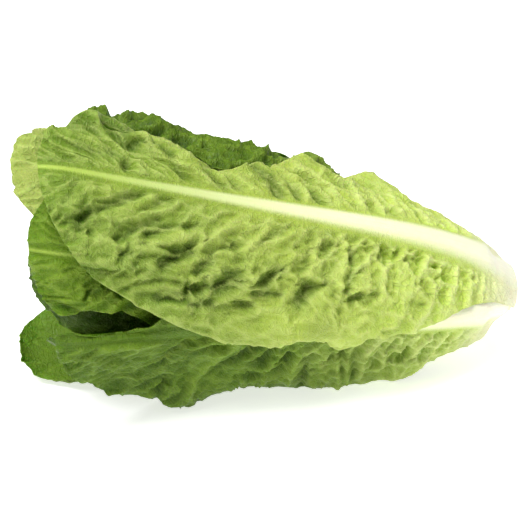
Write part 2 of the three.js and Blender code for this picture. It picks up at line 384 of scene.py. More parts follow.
@dataclass(frozen=True)
class LeafPlan:
    """Sizes of one leaf in millimetres and degrees.

    A pair is for the sides of rising and of falling angle, but the midrib's pairs are for its base and its
    tip, the hood is where the tip starts to turn in and how tightly, and the grid is rows and columns.
    """

    name: str
    angle: float
    tip: float
    half_width: tuple[float, float]
    hood: tuple[float, float]
    phase: float
    grid: tuple[int, int]
    tone: Tone = Tone.WRAPPER
    order: float = 0.0
    base: float = 0.0
    bend: float = 0.0
    drift: float = 0.0
    clasp: tuple[float, float] = (19.0, 19.0)
    corners: tuple[float, float] = (38.0, 38.0)
    folds: tuple[float, float] = (0.0, 0.0)
    ruffle: float = 0.9
    lobes: tuple[Lobe, ...] = ()
    pleats: tuple[Pleat, ...] = ()
    bumps: tuple[Bump, ...] = ()
    furrows: tuple[Furrow, ...] = ()
    spread: float = 0.0
    rib_half_widths: tuple[float, float] = (9.5, 2.4)
    rib_heights: tuple[float, float] = (5.2, 0.5)
    rib_roundness: float = 1.25
    rib_share: float = 1.0
    rib_reach: float = 1.2
    rib_line: float = 0.0
    puckers: tuple[float, float] = (0.6, 0.6)
    creases: tuple[float, float] = (0.5, 0.5)
    crimp: float = 0.8

    def share_at(self, u: Grid) -> Grid:
        """Share of the way from the base to the tip.

        Args:
            u: Distances from the butt.

        Returns:
            Shares from 0 to 1.
        """
        return np.clip((u - self.base) / (self.tip - self.base), 0.0, 1.0)

    def midrib_angle(self, u: Grid) -> Grid:
        """Angle about the axis at which the midrib runs.

        Args:
            u: Distances from the butt.

        Returns:
            Angles in radians.
        """
        a = self.share_at(u)
        return np.radians(self.angle + self.bend * (1.0 - a) ** 3 + self.drift * a * a)

    def rib_half_width(self, a: Grid) -> Grid:
        """Half-width of the midrib.

        Args:
            a: Shares of the way to the tip.

        Returns:
            The half-widths.
        """
        return blend(*self.rib_half_widths, a**0.8)

    def rib_height(self, a: Grid, across: Grid, wider: Grid | float = 0.0) -> Grid:
        """Height of the midrib over the blade.

        Args:
            a: Shares of the way to the tip.
            across: Distances from the middle of the rib.
            wider: What a blade that lies over the rib adds to its half-width.

        Returns:
            The heights.
        """
        height = blend(*self.rib_heights, a**0.75) * self.rib_share
        span = (self.rib_half_width(a) + wider) ** self.rib_roundness
        return height * bell(np.abs(across) ** self.rib_roundness, 0.0, span)


@dataclass(frozen=True)
class VeinNet:
    """Side veins, the cross veins between them and the hollows that these enclose, in millimetres.

    The walls of the hollows are in shares of a cell.
    """

    noise: LatticeNoise
    slant_at_base: float = 0.1
    slant_at_tip: float = 1.7
    spacing_at_base: float = 8.0
    spacing_at_tip: float = 14.0
    sweep: float = 150.0
    vein_widths: tuple[float, float] = (1.5, 0.75)
    thinning: float = 60.0
    wander: float = 0.5
    wander_length: float = 19.0
    quiver: float = 0.22
    quiver_length: float = 7.0
    patch_length: float = 14.0
    cell: float = 12.0
    wall_width: float = 0.13
    small_wall_width: float = 0.2
    wall_slope: tuple[float, float] = (0.03, 0.5)
    side_apart: float = 400.0

    def origin(self, length: float, along: Grid, across: Grid) -> Grid:
        """Find where on the midrib the side vein through a point begins.

        Args:
            length: Length of the leaf.
            along: Distances from the leaf's base.
            across: Distances from its midrib.

        Returns:
            Distances from the base.
        """
        turn = (self.slant_at_tip - self.slant_at_base) / length
        return (along - self.slant_at_base * across) / (1.0 + turn * across)

    def trace(self, length: float, along: Grid, across: Grid, side: Grid) -> dict[str, Grid]:
        """Trace the net over a blade.

        Args:
            length: Length of the leaf.
            along: Distances from the leaf's base.
            across: Distances from its midrib.
            side: 1 or -1, for the two sides of the midrib.

        Returns:
            The strength of side veins, cross veins and hollows, each from 0 to 1.
        """
        swept = across * (1.0 + across / self.sweep)
        origin = np.maximum(self.origin(length, along, swept), -20.0)
        growth = (self.spacing_at_tip - self.spacing_at_base) / length
        spacing = self.spacing_at_base + growth * origin
        away = across + self.side_apart * (side > 0)
        row = np.log(spacing / self.spacing_at_base) / growth + 0.5 * (side > 0) + 8.0
        wandering = 0.2 + 0.8 * smooth(across + 0.25 * along, 20.0, 90.0)
        warp = self.wander * self.noise.at(along / self.wander_length, away / self.wander_length)
        warp = warp + self.quiver * self.noise.at(along / self.quiver_length, away / self.quiver_length)
        row = row + wandering * warp
        past_vein = row - np.floor(row)
        width = blend(*self.vein_widths, np.clip(across / self.thinning, 0.0, 1.0))
        side_vein = bell((0.5 - np.abs(past_vein - 0.5)) * spacing, 0.0, width)
        patchy = 0.5 + 0.5 * self.noise.at(along / self.patch_length + 80.0, away / self.patch_length)

        wall, depth = self.noise.cells(0.85 * row, away / self.cell + 0.4 * past_vein)
        small_wall, small_depth = self.noise.cells(1.9 * row + 30.0, 2.1 * away / self.cell)
        pits = smooth(wall, *self.wall_slope) * (0.1 + 0.9 * depth**1.6)
        dimples = smooth(small_wall, *self.wall_slope) * (0.2 + 0.8 * small_depth)
        walls = bell(wall, 0.0, self.wall_width) + 0.5 * bell(small_wall, 0.0, self.small_wall_width)
        return {
            "side_vein": side_vein * (1.0 - 0.85 * wandering * patchy),
            "cross_vein": np.clip(walls, 0.0, 1.0),
            "hollow": np.clip(0.8 * pits + 0.3 * dimples, 0.0, 1.0),
        }


class Channel:
    """A value of a shader that takes part in Python arithmetic."""

    def __init__(self, graph: Graph, socket: bpy.types.NodeSocket) -> None:
        """Wrap a socket.

        Args:
            graph: Shader that it belongs to.
            socket: Output socket of one of its nodes.
        """
        self.graph = graph
        self.socket = socket

    def _math(self, operation: str, first: Channel | float, second: Channel | float) -> Channel:
        """Add a Math node.

        Args:
            operation: Operation of the node.
            first: Its first value.
            second: Its second value.

        Returns:
            What the node gives.
        """
        return self.graph.node("ShaderNodeMath", {"operation": operation}, {0: first, 1: second})

    def __add__(self, other: Channel | float) -> Channel:
        """Add a value."""
        return self._math("ADD", self, other)

    __radd__ = __add__

    def __sub__(self, other: Channel | float) -> Channel:
        """Take a value away."""
        return self._math("SUBTRACT", self, other)

    def __rsub__(self, other: Channel | float) -> Channel:
        """Take this away from a value."""
        return self._math("SUBTRACT", other, self)

    def __mul__(self, other: Channel | float) -> Channel:
        """Multiply by a value."""
        return self._math("MULTIPLY", self, other)

    __rmul__ = __mul__

    def eased(self, low: float, high: float) -> Channel:
        """Ease from 0 at low to 1 at high.

        Args:
            low: Where the ease starts.
            high: Where it ends.

        Returns:
            The eased value.
        """
        values = {"Value": self, "From Min": low, "From Max": high}
        return self.graph.node("ShaderNodeMapRange", {"interpolation_type": "SMOOTHSTEP"}, values)


class Graph:
    """Node tree of one material."""

    def __init__(self, name: str) -> None:
        """Start an empty material.

        Args:
            name: Name of the material.
        """
        self.material = bpy.data.materials.new(name)
        self.material.use_nodes = True
        self.tree = self.material.node_tree
        self.tree.nodes.clear()

    def node(
        self, kind: str, settings: dict[str, object], values: dict[str | int, object], output: int = 0
    ) -> Channel:
        """Add a node.

        Args:
            kind: Type of the node.
            settings: Its settings, which are set first.
            values: Values or links of its input sockets, by name or number.
            output: Number of the output socket that is wanted.

        Returns:
            That output.
        """
        made = self.tree.nodes.new(kind)
        for key, setting in settings.items():
            setattr(made, key, setting)
        for key, value in values.items():
            if isinstance(value, Channel):
                self.tree.links.new(value.socket, made.inputs[key])
            elif isinstance(value, tuple) and len(made.inputs[key].default_value) == 4:
                made.inputs[key].default_value = (*value, 1.0)
            else:
                made.inputs[key].default_value = value
        return Channel(self, made.outputs[output] if len(made.outputs) else None)

    def attribute(self, name: str, output: int = 2) -> Channel:
        """Read an attribute of the mesh.

        Args:
            name: Name of the attribute.
            output: 2 for a number, 1 for a vector.

        Returns:
            Its value.
        """
        return self.node("ShaderNodeAttribute", {"attribute_name": name}, {}, output)

    def object_place(self) -> Channel:
        """Read the Object coordinates."""
        return self.node("ShaderNodeTexCoord", {}, {}, 3)

    def mix(self, share: Channel | float, first: Channel | Colour, second: Channel | Colour) -> Channel:
        """Mix two colours.

        Args:
            share: How far to go from the first to the second.
            first: Colour at share 0.
            second: Colour at share 1.

        Returns:
            The mixed colour.
        """
        return self.node("ShaderNodeMix", {"data_type": "RGBA"}, {0: share, 6: first, 7: second}, 2)

    def noise(self, place: Channel, scale: float, detail: float = 3.0, roughness: float = 0.55) -> Channel:
        """Add a noise texture.

        Args:
            place: Coordinates that it is read at.
            scale: Its features for each unit of the coordinates.
            detail: How many finer layers it has.
            roughness: How strong the finer layers are.

        Returns:
            Values about 0.5.
        """
        values = {"Vector": place, "Scale": scale, "Detail": detail, "Roughness": roughness}
        return self.node("ShaderNodeTexNoise", {}, values)

    def net(self, place: Channel, scale: float) -> Channel:
        """Add the distance from the lines of a random net.

        Args:
            place: Coordinates that it is read at.
            scale: Its cells for each unit of the coordinates.

        Returns:
            Values from 0 on the lines.
        """
        values = {"Vector": place, "Scale": scale}
        return self.node("ShaderNodeTexVoronoi", {"feature": "DISTANCE_TO_EDGE"}, values)

    def finish(self, values: dict[str | int, object]) -> bpy.types.Material:
        """Add the surface shader and end the material.

        Args:
            values: Values or links of the shader's sockets.

        Returns:
            The finished material.
        """
        shader = self.node("ShaderNodeBsdfPrincipled", {}, values)
        self.node("ShaderNodeOutputMaterial", {}, {"Surface": shader})
        return self.material


class BladePattern:
    """Masks that are stored on a blade, and the patterns that follow it as it was when flat."""

    def __init__(self, graph: Graph) -> None:
        """Add the nodes that read the masks and make the patterns.

        Args:
            graph: Shader that they belong to.
        """
        # vein also holds a painted highlight on raised creases, and hollow is painted shade in the pits and
        # creases.
        self.share, self.rib, self.vein = (graph.attribute(name) for name in ("share", "rib", "vein"))
        self.hollow, self.inside = graph.attribute("hollow"), graph.attribute("inside")
        self.margin = graph.attribute("margin")
        growth = graph.attribute("growth", 1)
        self.blotches = graph.noise(growth, 0.035, 3.0)
        self.mottle = graph.noise(growth, 0.16, 4.0, 0.6)
        self.grain = graph.noise(growth, 0.9, 3.0, 0.6)
        stretched = graph.node("ShaderNodeMapping", {}, {"Vector": growth, "Scale": (1.0, 0.03, 1.0)})
        self.fibres = graph.noise(stretched, 1.1, 3.0, 0.65)
        drift = graph.node("ShaderNodeTexNoise", {}, {"Vector": growth, "Scale": 0.25}, 1)
        bent = graph.node("ShaderNodeVectorMath", {"operation": "ADD"}, {0: growth, 1: drift})
        self.fine_net = 1.0 - graph.net(bent, 0.42).eased(0.0, 0.16)
        self.finest_net = 1.0 - graph.net(bent, 1.1).eased(0.0, 0.14)


@dataclass(frozen=True)
class LeafFinish:
    """Colours and gloss of a leaf."""

    name: str
    base: Colour
    blade: Colour
    tip: Colour
    # deep, and deep_at_base below, are the colours of the hollows and creases: partly their deeper green,
    # partly painted shade; hollow_shade is how far they go.
    deep: Colour
    inner: Colour
    deep_at_base: Colour = (0.36, 0.54, 0.03)
    rib_at_base: Colour = (0.95, 0.94, 0.73)
    rib: Colour = (0.90, 0.90, 0.58)
    rib_at_tip: Colour = (0.36, 0.49, 0.07)
    vein_at_base: Colour = (0.72, 0.82, 0.31)
    vein: Colour = (0.56, 0.66, 0.19)
    roughness: float = 0.43
    inner_roughness: float = 0.34
    hollow_shade: float = 0.72
    vein_strength: float = 0.75

    def blade_colour(self, graph: Graph, on: BladePattern) -> Channel:
        """Colour the blade from its pale base to its tip, with painted shade in the hollows and creases,
        partly their deeper green, and paler on the veins and, as a painted highlight, on the raised
        creases.

        Args:
            graph: Shader of the leaf.
            on: Masks and patterns of the blade.

        Returns:
            The colour.
        """
        ripened = on.share + (on.blotches - 0.5) * 0.5
        blade = graph.mix(ripened.eased(0.1, 0.6), self.base, self.blade)
        blade = graph.mix(ripened.eased(0.5, 0.98), blade, self.tip)
        # Painted shade: the hollow mask darkens the pits and creases towards the deep colour, which is
        # partly their real deeper green; the mottle adds random darker patches.
        shaded = on.hollow * self.hollow_shade + on.mottle.eased(0.45, 0.75) * 0.25 * on.share
        deep_green_and_shade = graph.mix(ripened.eased(0.15, 0.5), self.deep_at_base, self.deep)
        blade = graph.mix(shaded, blade, deep_green_and_shade)
        # The vein mask also holds a painted highlight on the raised creases.
        lines = on.fine_net * 0.18 + on.finest_net * 0.08 + on.vein * self.vein_strength
        pale = graph.mix(ripened.eased(0.15, 0.55), self.vein_at_base, self.vein)
        blade = graph.mix(lines * (1.0 - on.share * 0.45), blade, pale)
        blade = graph.mix(1.0 - on.share.eased(0.0, 0.16), blade, self.rib)
        blade = graph.mix(on.inside * 0.8, blade, self.inner)
        return graph.mix(on.margin * 0.35, blade, self.vein)

    def rib_colour(self, graph: Graph, on: BladePattern) -> Channel:
        """Colour the midrib, cream at its base and green at its tip.

        Args:
            graph: Shader of the leaf.
            on: Masks and patterns of the blade.

        Returns:
            The colour.
        """
        colour = graph.mix(on.share.eased(0.0, 0.3), self.rib_at_base, self.rib)
        colour = graph.mix(on.share.eased(0.3, 1.0), colour, self.rib_at_tip)
        return graph.mix(on.fibres.eased(0.45, 0.75) * 0.1, colour, self.blade)

    def skin(self, graph: Graph, on: BladePattern) -> Channel:
        """Roughen the blade with its finest nets and the midrib with its fibres.

        Args:
            graph: Shader of the leaf.
            on: Masks and patterns of the blade.

        Returns:
            The bump.
        """
        skin = on.grain * 0.35 + on.fine_net * 0.45 + on.finest_net * 0.15 + on.mottle * 0.8
        height = skin * (1.0 - on.rib * 0.8) + on.rib * on.fibres * 0.2
        return graph.node("ShaderNodeBump", {}, {"Strength": 0.85, "Distance": 0.0009, "Height": height})

    def material(self) -> bpy.types.Material:
        """Build the material.

        Returns:
            The material.
        """
        graph = Graph(self.name)
        on = BladePattern(graph)
        rib = on.rib * (1.0 - on.inside * 0.4)
        roughness = self.roughness + on.inside * (self.inner_roughness - self.roughness)
        return graph.finish(
            {
                "Base Color": graph.mix(rib, self.blade_colour(graph, on), self.rib_colour(graph, on)),
                "Roughness": roughness + (on.mottle - 0.5) * 0.22,
                "Normal": self.skin(graph, on),
                "Subsurface Weight": 0.22,
                "Subsurface Radius": (0.5, 1.0, 0.2),
                "Subsurface Scale": 0.0025,
                "Specular IOR Level": 0.2,
            }
        )


FINISHES: dict[Tone, LeafFinish] = {
    Tone.WRAPPER: LeafFinish(
        name="wrapper_leaf",
        base=(0.56, 0.72, 0.12),
        blade=(0.39, 0.51, 0.068),
        tip=(0.17, 0.275, 0.020),
        deep=(0.04, 0.10, 0.002),
        inner=(0.10, 0.20, 0.010),
    ),
    Tone.SUNNED: LeafFinish(
        name="sunned_leaf",
        base=(0.44, 0.58, 0.08),
        blade=(0.09, 0.175, 0.006),
        tip=(0.08, 0.155, 0.005),
        deep=(0.016, 0.045, 0.001),
        deep_at_base=(0.14, 0.27, 0.008),
        vein=(0.24, 0.36, 0.035),
        inner=(0.05, 0.12, 0.004),
        roughness=0.40,
    ),
    Tone.SHADED: LeafFinish(
        name="shaded_leaf",
        base=(0.50, 0.62, 0.10),
        blade=(0.13, 0.235, 0.006),
        tip=(0.105, 0.20, 0.004),
        deep=(0.022, 0.06, 0.001),
        vein=(0.30, 0.42, 0.05),
        inner=(0.12, 0.21, 0.018),
        roughness=0.40,
    ),
    # Painted shade: a dark finish for leaves that show only in the shadowed gaps between the others.
    Tone.BURIED: LeafFinish(
        name="painted_shade_leaf",
        base=(0.20, 0.30, 0.03),
        blade=(0.05, 0.10, 0.003),
        tip=(0.06, 0.12, 0.003),
        deep=(0.015, 0.04, 0.001),
        inner=(0.03, 0.07, 0.002),
        rib=(0.30, 0.40, 0.05),
        rib_at_tip=(0.12, 0.20, 0.02),
        vein=(0.12, 0.20, 0.02),
    ),
    Tone.HOOD: LeafFinish(
        name="hood_leaf",
        base=(0.58, 0.66, 0.15),
        blade=(0.35, 0.43, 0.09),
        tip=(0.34, 0.41, 0.085),
        deep=(0.12, 0.20, 0.012),
        inner=(0.08, 0.17, 0.008),
    ),
    Tone.HEART: LeafFinish(
        name="heart_leaf",
        base=(0.80, 0.82, 0.30),
        blade=(0.62, 0.70, 0.17),
        tip=(0.50, 0.62, 0.11),
        deep=(0.30, 0.40, 0.05),
        inner=(0.46, 0.58, 0.10),
    ),
}


def new_piece(name: str) -> bpy.types.Object:
    """Take over the primitive that was just added.

    Args:
        name: Name of the piece.

    Returns:
        Its object.
    """
    piece = bpy.context.active_object
    piece.name = piece.data.name = name
    return piece


def deselect() -> None:
    """Deselect every object."""
    bpy.ops.object.select_all(action="DESELECT")


def coat(piece: bpy.types.Object, material: bpy.types.Material) -> None:
    """Give a whole piece one material.

    Args:
        piece: The piece's object.
        material: The finished material.
    """
    piece.data.materials.clear()
    piece.data.materials.append(material)


def store(mesh: bpy.types.Mesh, name: str, values: Grid) -> None:
    """Store a number for each vertex.

    Args:
        mesh: Mesh that gets the attribute.
        name: Name of the attribute.
        values: One number for each vertex.
    """
    mesh.attributes.new(name, "FLOAT", "POINT").data.foreach_set("value", values)


def store_growth(mesh: bpy.types.Mesh, places: Grid) -> None:
    """Store where each vertex lies on the flat blade, for the patterns that follow it.

    Args:
        mesh: Mesh that gets the attribute.
        places: One place for each vertex: across, along, 0.
    """
    mesh.attributes.new("growth", "FLOAT_VECTOR", "POINT").data.foreach_set("vector", places.ravel())


@dataclass(frozen=True)
class Relief:
    """Heights of a blade's swells, creases and pits, and the lengths that they repeat over, in millimetres.

    The widening of the blade is in shares of its length.
    """

    opening_power: float = 1.7
    widest_at: float = 0.66
    narrowing: float = 0.3
    swell_lengths: tuple[float, float] = (26.0, 40.0)
    swell_sharpness: float = 1.4
    wave_length: float = 37.0
    wave_shift: float = 2.2
    wave_shift_length: float = 41.0
    ridge: float = 1.3
    pit: float = 4.2
    crease: float = 2.2
    crease_lengths: tuple[float, float] = (12.0, 34.0)
    crumple: float = 1.3
    crumple_lengths: tuple[float, float] = (8.0, 3.6)
    roll: float = 1.6
    roll_lengths: tuple[float, float] = (26.0, 20.0)
    crimp_lengths: tuple[float, float] = (6.5, 2.8)
    ragged: float = 1.2
    ragged_lengths: tuple[float, float] = (11.0, 4.5)


@dataclass
class Leaf:
    """One leaf: a thin blade with a raised midrib, wrapped round the head."""

    plan: LeafPlan
    form: HeadForm
    inner: tuple[LeafPlan, ...]
    sizes: Relief = Relief()
    noise: LatticeNoise = field(init=False)
    veins: VeinNet = field(init=False)

    def __post_init__(self) -> None:
        """Seed the leaf's own noise from its phase."""
        self.noise = LatticeNoise(int(100 * self.plan.phase) + 7)
        self.veins = VeinNet(self.noise)

    def half_width(self, a: Grid, side: Grid, u: Grid) -> Grid:
        """Half-width of the blade.

        Args:
            a: Shares of the way to the tip.
            side: 1 or -1, for the two sides of the midrib.
            u: Distances from the butt.

        Returns:
            The half-widths.
        """
        plan, widest_at = self.plan, self.sizes.widest_at
        opened = np.sin(pi / 2.0 * np.minimum(a / widest_at, 1.0)) ** self.sizes.opening_power
        closing = 1.0 - self.sizes.narrowing * np.maximum((a - widest_at) / (1.0 - widest_at), 0.0) ** 2
        at_base, at_widest = np.where(side > 0, *plan.clasp), np.where(side > 0, *plan.half_width)
        reach = sum(lobe.reach * bell(u, lobe.u, lobe.span) * (side == lobe.side) for lobe in plan.lobes)
        return blend(at_base, at_widest, opened) * closing + reach

    def ribs_beneath(self, u: Grid, angle: Grid, radius: Grid) -> Grid:
        """How far the midribs of the leaves inside this one push it outwards.

        Args:
            u: Distances from the butt.
            angle: Angles about the axis.
            radius: Distances from the axis.

        Returns:
            The lifts.
        """
        lift = np.zeros_like(u)
        for plan in self.inner:
            across = np.arcsin(np.sin((angle - plan.midrib_angle(u)) / 2.0)) * 2.0 * radius
            begun = smooth(u, plan.base - 11.0, plan.base - 1.0)
            ended = smooth(u, plan.tip, plan.tip + 10.0)
            wider = blend(1.0, 6.0, smooth(u, 10.0, 90.0))
            lift = lift + begun * (1.0 - ended) * plan.rib_height(plan.share_at(u), across, wider)
        return lift

    def lift(self, a: Grid, v: Grid, along: Grid, across: Grid) -> Grid:
        """Lift of the blade by its folds, ruffles and pleats.

        Args:
            a: Shares of the way to the tip.
            v: Places from margin to margin, -1 to 1.
            along: Distances from the base.
            across: Distances from the midrib.

        Returns:
            The lifts.
        """
        plan, sizes = self.plan, self.sizes
        origin = self.veins.origin(plan.tip - plan.base, along, across)
        swell = 0.5 + 0.5 * np.sin(2.0 * pi * origin / blend(*sizes.swell_lengths, a) + 3.0 * plan.phase)
        swell = swell**sizes.swell_sharpness * smooth(np.abs(v), 0.1, 0.75) * smooth(a, 0.12, 0.35)
        shift = sizes.wave_shift * np.sin(along / sizes.wave_shift_length + v)
        wave = 0.5 + 0.5 * np.sin(2.0 * pi * along / sizes.wave_length + plan.phase + shift)
        edge = np.abs(v) ** 4 * smooth(a, 0.15, 0.5)
        lift = np.where(v > 0, *plan.folds) * swell + plan.ruffle * wave * edge
        u = along + plan.base
        for pleat in plan.pleats:
            risen = smooth(u, pleat.start - pleat.run, pleat.start)
            lift = lift + pleat.height * bell(v, pleat.v, pleat.span) * risen
        for bump in plan.bumps:
            lift = lift + bump.height * bell(v, bump.v, bump.span) * bell(u, bump.u, bump.span_u)
        return lift

    def creasing(self, along: Grid, across: Grid, side: Grid) -> tuple[Grid, Grid]:
        """Crease and crumple the blade, and roll it slowly up and down.

        Args:
            along: Distances from the base.
            across: Distances from the midrib.
            side: 1 or -1, for the two sides of the midrib.

        Returns:
            The creases alone, and the height of all three.
        """
        noise, sizes = self.noise, self.sizes
        origin = self.veins.origin(self.plan.tip - self.plan.base, along, across)
        signed = side * across
        run, width = sizes.crease_lengths
        crease = noise.creased(origin / run + 9.0, signed / width) - 0.4
        large, small = sizes.crumple_lengths
        crumple = noise.creased(along / large, signed / large) - 0.35
        crumple = crumple + 0.5 * noise.creased(along / small, signed / small) - 0.2
        run, width = sizes.roll_lengths
        rolling = noise.at(along / run + 3.0, signed / width)
        return crease, sizes.crease * crease + sizes.crumple * crumple + sizes.roll * rolling

    def rib_mask(self, a: Grid, across: Grid, side: Grid) -> Grid:
        """Mark the pale midrib, which is fainter on the side of falling angle: partly the greener edge of
        the real rib, partly painted shade on the flank that gets less light.

        Args:
            a: Shares of the way to the tip.
            across: Distances from the midrib.
            side: 1 or -1, for the two sides of the midrib.

        Returns:
            The mask, from 0 to 1.
        """
        plan = self.plan
        place = across / plan.rib_half_width(a)
        rib = 1.0 - smooth(place, blend(0.6, 0.15, a), blend(1.15, 0.75, a))
        # Painted shade on the rib's flank of falling angle, partly its real greener edge there.
        rib = rib * (1.0 - 0.45 * smooth(-side * place, 0.1, 0.8))
        rib = rib * (1.0 - smooth(a, plan.rib_reach - 0.2, plan.rib_reach))
        return np.maximum(rib, plan.rib_line * bell(across, 0.0, 1.0))

    def relief(self, a: Grid, v: Grid, along: Grid, across: Grid) -> dict[str, Grid]:
        """Fine relief of the blade and the masks that its colours follow.

        Args:
            a: Shares of the way to the tip.
            v: Places from margin to margin, -1 to 1.
            along: Distances from the base.
            across: Distances from the midrib.

        Returns:
            The height of the relief, and the rib, vein, hollow and margin masks; the hollow mask is painted
            shade in the pits and sunk creases, and the vein mask also a painted highlight on raised
            creases.
        """
        plan, noise, sizes = self.plan, self.noise, self.sizes
        side = np.where(v < 0, -1.0, 1.0)
        half_rib = plan.rib_half_width(a)
        off_rib = smooth(across, 0.85 * half_rib, 1.25 * half_rib + 2.0)
        in_body = smooth(a, 0.02, 0.13)
        fade = off_rib * in_body * (1.0 - 0.6 * smooth(np.abs(v), 0.55, 1.0))

        net = self.veins.trace(plan.tip - plan.base, along, across, side)
        side_vein, cross_vein = net["side_vein"], net["cross_vein"]
        crowded = blend(1.0, blend(0.35, 1.0, smooth(across, 8.0, 30.0)), smooth(a, 0.3, 0.6))
        sunk = net["hollow"] * fade * crowded * np.where(v > 0, *plan.puckers)
        side_ridge = blend(1.5, 0.8, smooth(a, 0.2, 0.5)) * side_vein
        ridges = (side_ridge + 0.5 * cross_vein * (1.0 - side_vein)) * fade

        hand_placed = sum((furrow.at(side * across, along) for furrow in plan.furrows), np.zeros_like(a))
        furrows = hand_placed * off_rib
        crease, creased = self.creasing(along, across, side)
        amount = np.where(v > 0, *plan.creases)
        folded = amount * creased * fade * smooth(a, 0.1, 0.4)
        long, short = sizes.crimp_lengths
        crimps = noise.at(along / long, 3.0 * side) + 0.5 * noise.at(along / short, 7.0 * side)
        crimped = plan.crimp * crimps * smooth(np.abs(v), 0.8, 1.0) * in_body

        # The vein mask also paints the raised creases paler, a painted highlight on their crests; the
        # hollow mask is painted shade in the pits and sunk creases, less under raised creases.
        veined = (side_vein * blend(1.0, 0.4, np.abs(v)) + 0.6 * cross_vein) * off_rib * (1.0 - sunk)
        shaded = sunk + np.maximum(-crease, 0.0) * amount * fade - furrows / 4.0
        return {
            "height": sizes.ridge * ridges - sizes.pit * sunk + folded + crimped + furrows,
            "rib": self.rib_mask(a, across, side),
            "vein": np.clip(veined + 0.25 * np.maximum(furrows, 0.0), 0.0, 1.0),
            "hollow": np.clip(shaded, 0.0, 1.0),
            "margin": smooth(np.abs(v), 0.965, 0.995),
        }

    def hooded(self, flat: Grid) -> tuple[Grid, Grid]:
        """Turn the tip inwards over the head.

        Args:
            flat: Distances from the butt along the blade.

        Returns:
            Distances from the butt along the axis, and how far the blade has dropped towards it.
        """
        start, radius = self.plan.hood
        past = np.maximum(flat - start, 0.0) / radius
        return np.minimum(flat, start) + radius * np.sin(past), radius * (1.0 - np.cos(past))

    def surface(self, a: Grid, v: Grid) -> dict[str, Grid]:
        """Lay the blade on the head.

        Args:
            a: Shares of the way to the tip, one for each point of the grid.
            v: Places from margin to margin, -1 to 1.

        Returns:
            Outer and inner points in millimetres, and the masks of the relief.
        """
        plan, form, sizes = self.plan, self.form, self.sizes
        side = np.where(v < 0, -1.0, 1.0)
        corner = np.where(v > 0, *plan.corners) * np.abs(v) ** 2.4 * smooth(a, 0.3, 1.0)
        flat = blend(plan.base, plan.tip, a) - corner
        long, short = sizes.ragged_lengths
        ragged = self.noise.at(flat / long, 50.0 + side) + 0.5 * self.noise.at(flat / short, 60.0 + side)
        ragged = np.abs(v) ** 6 * ragged * sizes.ragged * smooth(a, 0.1, 0.4)
        across = np.abs(v) * self.half_width(a, side, flat) + ragged
        u, hooded = self.hooded(flat)
        radius = form.radius(u) - form.layer_depth(plan.order, u)
        angle = plan.midrib_angle(flat) + side * across / np.maximum(radius, form.neck_radius - 1.0)
        spread = plan.spread * smooth(u, 240.0, 275.0)
        along = flat - plan.base
        lifted = radius + spread + self.ribs_beneath(u, angle, radius) + self.lift(a, v, along, across)
        under = form.layer_depth(max(plan.order - 2.0, 0.0), u) - spread
        height = form.blade - form.floor_press + np.maximum(under, 0.0)
        bare = form.place(u, angle, form.settled(lifted, angle, u, height) - hooded)

        relief = self.relief(a, v, along, across)
        normal = np.cross(np.gradient(bare, axis=1), np.gradient(bare, axis=0))
        normal /= np.linalg.norm(normal, axis=-1, keepdims=True)
        out = form.place(u, angle, np.ones_like(u)) - form.place(u, angle, np.zeros_like(u))
        edge = np.maximum(smooth(np.abs(v), 0.7, 1.0), smooth(a, 0.93, 1.0))
        blade = form.blade * (1.0 - 0.5 * edge)
        rib = plan.rib_height(a, np.abs(v) * self.half_width(a, side, blend(plan.base, plan.tip, a)))
        inner = bare + normal * relief["height"][..., None]
        outer = inner + normal * blade[..., None] + out * rib[..., None]
        outer[..., 2] = np.maximum(outer[..., 2], 0.0)
        inner[..., 2] = np.maximum(inner[..., 2], blade)
        growth = np.stack([side * across, along, 0.0 * a], axis=-1)
        return relief | {"outer": outer, "inner": inner, "share": a, "growth": growth}

    def build(self) -> bpy.types.Object:
        """Model the leaf from a flat grid that is laid on the head and thickened.

        Returns:
            The leaf's object.
        """
        rows, columns = self.plan.grid
        s = np.linspace(0.0, 1.0, rows + 1)
        x = np.linspace(-1.0, 1.0, columns + 1)
        a = np.clip(s - 0.05 * np.sin(2.0 * pi * s), 0.0, 1.0)
        made = self.surface(*np.meshgrid(a, x * (0.7 + 0.3 * np.abs(x)), indexing="ij"))

        deselect()
        bpy.ops.mesh.primitive_grid_add(x_subdivisions=columns, y_subdivisions=rows, size=1.0)
        piece = new_piece(f"{self.plan.name}_blade")
        mesh = piece.data
        mesh.vertices.foreach_set("co", (made["outer"] * MM).ravel())
        thickness = piece.modifiers.new("blade", "SOLIDIFY")
        thickness.thickness = self.form.blade * MM
        thickness.offset = -1.0
        bpy.ops.object.modifier_apply(modifier=thickness.name)
        # The thickened sheet lists its inner face after its outer one, which alone carries the midrib.
        both = np.concatenate([made["outer"].reshape(-1, 3), made["inner"].reshape(-1, 3)])
        mesh.vertices.foreach_set("co", (both * MM).ravel())
        mesh.update()
        for name in ("share", "rib", "vein", "hollow", "margin"):
            store(mesh, name, np.tile(made[name].ravel(), 2))
        store(mesh, "inside", np.repeat([0.0, 1.0], made["share"].size))
        store_growth(mesh, np.tile(made["growth"].reshape(-1, 3), (2, 1)))
        bpy.ops.object.shade_smooth()
        return piece

    def dress(self, piece: bpy.types.Object, materials: dict[Tone, bpy.types.Material]) -> None:
        """Give the leaf its finish.

        Args:
            piece: The leaf's object.
            materials: The finished materials.
        """
        coat(piece, materials[self.plan.tone])


